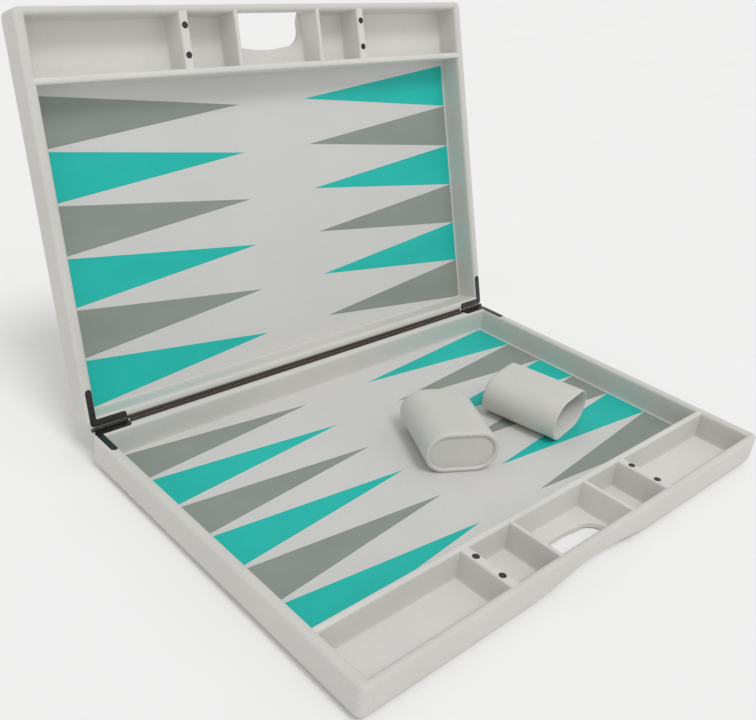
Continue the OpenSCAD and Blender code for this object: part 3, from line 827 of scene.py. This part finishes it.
def knuckle_parts(indices):
    """Knuckles, each with the tab that joins it to its plate."""
    tab_start, tab_end = -PLATE_EDGE - 0.6, -1.5
    tab_levels = [(PLATE_LOW + 0.1, 0), (PLATE_TOP - 0.25, 0), (PLATE_TOP, -0.12)]
    parts = []
    for index in indices:
        x0 = PLATE_IN + index * KNUCKLE_PITCH + KNUCKLE_GAP
        x1 = PLATE_IN + (index + 1) * KNUCKLE_PITCH - KNUCKLE_GAP
        parts.append(tube(x0, x1, BARREL, BARREL_BORE))
        tab = [(x0, tab_start), (x1, tab_start), (x1, tab_end), (x0, tab_end)]
        parts.append(prism(tab, tab_levels))
    return parts


def plate_piece(side, leaf, body, matrix, indices):
    levels = [(PLATE_LOW + rise, -inset)
              for inset, rise in reversed(quarter(PLATE_LOW_ROUND, 3))]
    levels += [(PLATE_TOP - drop, -inset) for inset, drop in quarter(PLATE_ROUND, 3)]
    verts, faces = joined([prism(plate_outline(), levels)] + knuckle_parts(indices))
    plate = build(f"{side}_hinge_{leaf}_leaf_plate", verts, faces, matrix)
    sinks = []
    for k, (x, reach) in enumerate(SCREWS):
        rings = []
        for above, radius in SINK_LEVELS:
            rings.append([(px, py, PLATE_TOP + above) for px, py in circle(x, -reach, radius, 28)])
        verts, faces = loft(rings)
        sinks.append(build(f"cutter_sink_{k}", verts, faces, matrix))
    carve(plate, sinks)
    tidy(plate, 35.0)
    place(plate, body, BLACK, [f"{side}_hinge_{leaf}_plate"])


def cross_outline(x, y, turn, rim):
    """The cross recess, sampled at the angles of the rim's points, so that quads join the two."""
    points = []
    for px, py in rim:
        away = Vector((px - x, py - y)).normalized()
        a = (math.degrees(math.atan2(away.y, away.x)) - turn) % 90
        a = math.radians(min(a, 90 - a))
        reach = min(SLOT_ARM / math.cos(a), SLOT_HALF * 1.05 / max(math.sin(a), 0.001))
        reach = max(reach, SLOT_HALF * 1.5)
        points.append((x + away.x * reach, y + away.y * reach))
    return points


def screw_head(x, y, turn):
    """A countersunk head with a cross recess, its top level with the plate."""
    top = PLATE_TOP - 0.06
    crown = top + 0.04
    steps = 48
    rim = circle(x, y, SCREW_RIM, steps)
    cross = cross_outline(x, y, turn, rim)
    floor = [(x + (px - x) * 0.9, y + (py - y) * 0.9) for px, py in cross]
    stack = ((circle(x, y, 1.0, steps), top - 1.9), (circle(x, y, 1.15, steps), top - 1.0),
             (rim, top - 0.12), (circle(x, y, 2.02, steps), top - 0.02),
             (circle(x, y, 1.6, steps), crown), (cross, crown), (floor, crown - SLOT_DEPTH))
    return loft([[(px, py, z) for px, py in ring] for ring, z in stack])


def screws_piece(side, leaf, body, matrix):
    parts = [screw_head(x, -reach, turn) for (x, reach), turn in zip(SCREWS, SCREW_TURN_DEG)]
    verts, faces = joined(parts)
    piece = build(f"{side}_hinge_{leaf}_screw_heads", verts, faces, matrix)
    tidy(piece, 30.0)
    place(piece, body, BLACK, [f"{side}_hinge_{leaf}_screws"])


def pin_piece(side, matrix):
    tip = ((0, 0.5), (0.12, 0.95), (0.4, 1.2))
    path = [(pin_lo[0] + along, radius) for along, radius in tip]
    path += [(pin_hi[0] - along, radius) for along, radius in reversed(tip)]
    verts, faces = loft(turned(path, 28))
    piece = build(f"{side}_hinge_steel_pin", verts, faces, matrix)
    place(piece, "lower_leaf", STEEL, [f"{side}_hinge_pin"])


for hinge_side, low_m, up_m in (("right", LOWER, UPPER @ FLIP), ("left", LOWER @ FLIP, UPPER)):
    plate_piece(hinge_side, "lower", "lower_leaf", low_m, (0, 2, 4))
    plate_piece(hinge_side, "upper", "lid", up_m, (1, 3))
    screws_piece(hinge_side, "lower", "lower_leaf", low_m)
    screws_piece(hinge_side, "upper", "lid", up_m)
    pin_piece(hinge_side, low_m)


# ---------------------------------------------------------------- dice cups

CUP_WIDTH, CUP_THICK, CUP_LENGTH = 81.0, 48.0, 92.0
CUP_END = CUP_LENGTH / 2
CUP_FLAT = (CUP_WIDTH - CUP_THICK) / 2
CUP_R = CUP_THICK / 2
CUP_WALL = 2.25             # from the outside of the wall to its inner face
CUP_INSIDE = 2.3            # from the outside to the base and the lining, just clear of the wall
FELT_INSIDE = 3.3
BASE_X = -CUP_END + 2.9     # outer face of the base, recessed behind the wall's end
BASE_THICK = 3.0
CUPS = {"left_cup": 61.8, "right_cup": -80.0}


def stadium(x, inset, steps=22, flat_steps=8):
    """A cup's outline at x, moved inwards by inset: two half circles and two flats."""
    r = CUP_R - inset
    loop = []
    for side, start, flat_z in ((1, -90, CUP_R + r), (-1, 90, CUP_R - r)):
        loop += [(x, y, z) for y, z in arc(side * CUP_FLAT, CUP_R, r, start, start + 180, steps)]
        for i in range(1, flat_steps):
            loop.append((x, side * (CUP_FLAT - 2 * CUP_FLAT * i / flat_steps), flat_z))
    return loop


def cup_matrix(body, angle):
    lo, hi = box_mm(body + "_shell")
    return (Matrix.Translation(((lo[0] + hi[0]) / 2, (lo[1] + hi[1]) / 2, lo[2]))
            @ Matrix.Rotation(math.radians(angle), 4, "Z"))


def cup_wall(body, matrix):
    """The leather wall: a thick rolled end round the base, a thin lip at the mouth."""
    straight, straight_steps = CUP_LENGTH - 4.3, 14
    base_roll = ((1.6, 4.95), (0.8, 4.7), (0.25, 4.1), (0, 3.3), (0.1, 2.3), (0.6, 1.2), (1.5, 0.4),
                 (2.8, 0.0))
    mouth_roll = ((1.5, 0.0), (0.6, 0.12), (0.15, 0.45), (0, 0.95), (0, 1.35), (0.15, 1.8),
                  (0.6, 2.15), (1.5, CUP_WALL), (8, CUP_WALL))
    path = [(BASE_X, 5.0)]
    path += [(-CUP_END + along, inset) for along, inset in base_roll]
    path += [(-CUP_END + 2.8 + straight * i / straight_steps, 0.0) for i in range(1, straight_steps)]
    path += [(CUP_END - along, inset) for along, inset in mouth_roll]
    path += [(0, CUP_WALL), (BASE_X, CUP_WALL)]
    verts, faces = loft([stadium(x, inset) for x, inset in path], closed=True)
    shell = build(body + "_leather_wall", verts, faces, matrix)
    place(shell, body, CUP, [body + "_shell"])


def cup_base(body, matrix):
    """The base: a pad that swells a little towards its middle."""
    swell = ((-0.05, 4.8), (-0.3, 5.6), (-0.6, 7.0), (-0.9, 10.0), (-1.0, 15.0))
    path = [(BASE_THICK, CUP_INSIDE), (0.1, CUP_INSIDE), (0, 2.9)] + list(swell)
    verts, faces = loft([stadium(BASE_X + along, inset) for along, inset in path])
    base = build(body + "_base_pad", verts, faces, matrix)
    place(base, body, CUP, [body + "_base"])


def cup_lining(body, matrix):
    """The felt sleeve, open at the mouth, with a soft edge there and a soft corner at the base."""
    back = BASE_X + BASE_THICK + 0.02
    mouth = ((1.9, CUP_INSIDE), (1.55, 2.45), (1.45, 2.8), (1.6, 3.15), (2.1, FELT_INSIDE),
             (8, FELT_INSIDE))
    corner = ((3.4, FELT_INSIDE), (2.2, 3.6), (1.3, 4.6), (1.0, 6.0), (0.95, 14.0))
    path = [(back, CUP_INSIDE), (0, CUP_INSIDE)]
    path += [(CUP_END - along, inset) for along, inset in mouth]
    path += [(0, FELT_INSIDE)]
    path += [(back + along, inset) for along, inset in corner]
    verts, faces = loft([stadium(x, inset) for x, inset in path])
    lining = build(body + "_felt_sleeve", verts, faces, matrix)
    place(lining, body, FELT, [body + "_lining"])


for cup_body, cup_angle in CUPS.items():
    cup_place = cup_matrix(cup_body, cup_angle)
    cup_wall(cup_body, cup_place)
    cup_base(cup_body, cup_place)
    cup_lining(cup_body, cup_place)


# ---------------------------------------------------------------- floor, light and camera (metres)

FLOOR_HALF_M = 60.0
FLOOR_STEPS = 24
FLOOR_DROP_M = 0.0004
WORLD_STRENGTH = 0.63
SUN_DIRECTION = (0.08, 0.46, -0.88)
SUN_STRENGTH = 1.02
SUN_SPREAD_DEG = 20.0
CAMERA_PLACE_M = (-0.64902, -0.50438, 0.53752)
CAMERA_TURN_DEG = (63.6864, -4.6763, -40.7983)
CAMERA_LENS = 42.976
CAMERA_SENSOR = 36.0
CAMERA_SHIFT = (0.0653, -0.0288)


def floor_material():
    g = Graph("studio_floor")
    cloud = g.noise(3, detail=2.0)
    base = g.mix(g.ramp(cloud, 0.3, 0.7), (0.950, 0.950, 0.945), (0.965, 0.965, 0.96))
    normal = g.bump(g.noise(300, detail=2.0), 0.03, 0.0002)
    return g.finish(base, g.ramp(cloud, 0.3, 0.7, 0.78, 0.84), normal, Specular_IOR_Level=0.2)


def floor_piece():
    row = FLOOR_STEPS + 1
    places = [FLOOR_HALF_M * (2 * i / FLOOR_STEPS - 1) for i in range(row)]
    verts = [(x, y, 0.0) for x in places for y in places]
    faces = []
    for i in range(FLOOR_STEPS):
        for j in range(FLOOR_STEPS):
            a = i * row + j
            faces.append((a, a + 1, a + row + 1, a + row))
    mesh = bpy.data.meshes.new("studio_floor")
    mesh.from_pydata(verts, [], faces)
    mesh.materials.append(floor_material())
    obj = bpy.data.objects.new("studio_floor", mesh)
    bpy.context.scene.collection.objects.link(obj)
    obj.location.z = -FLOOR_DROP_M


def studio_world():
    world = bpy.data.worlds.new("studio")
    bpy.context.scene.world = world
    world.use_nodes = True
    background = world.node_tree.nodes["Background"]
    background.inputs["Color"].default_value = (1.0, 1.0, 1.0, 1.0)
    background.inputs["Strength"].default_value = WORLD_STRENGTH


def soft_sun():
    data = bpy.data.lights.new("key", "SUN")
    data.energy = SUN_STRENGTH
    data.angle = math.radians(SUN_SPREAD_DEG)
    obj = bpy.data.objects.new("key", data)
    bpy.context.scene.collection.objects.link(obj)
    obj.rotation_mode = "QUATERNION"
    obj.rotation_quaternion = Vector(SUN_DIRECTION).to_track_quat("-Z", "Y")


def studio_camera():
    data = bpy.data.cameras.new("camera")
    data.sensor_width = CAMERA_SENSOR
    data.lens = CAMERA_LENS
    data.shift_x, data.shift_y = CAMERA_SHIFT
    data.clip_start = 0.05
    data.clip_end = 50.0
    obj = bpy.data.objects.new("camera", data)
    bpy.context.scene.collection.objects.link(obj)
    obj.location = CAMERA_PLACE_M
    obj.rotation_euler = [math.radians(turn) for turn in CAMERA_TURN_DEG]
    bpy.context.scene.camera = obj


floor_piece()
studio_world()
soft_sun()
bpy.context.scene.view_settings.view_transform = "Standard"
studio_camera()
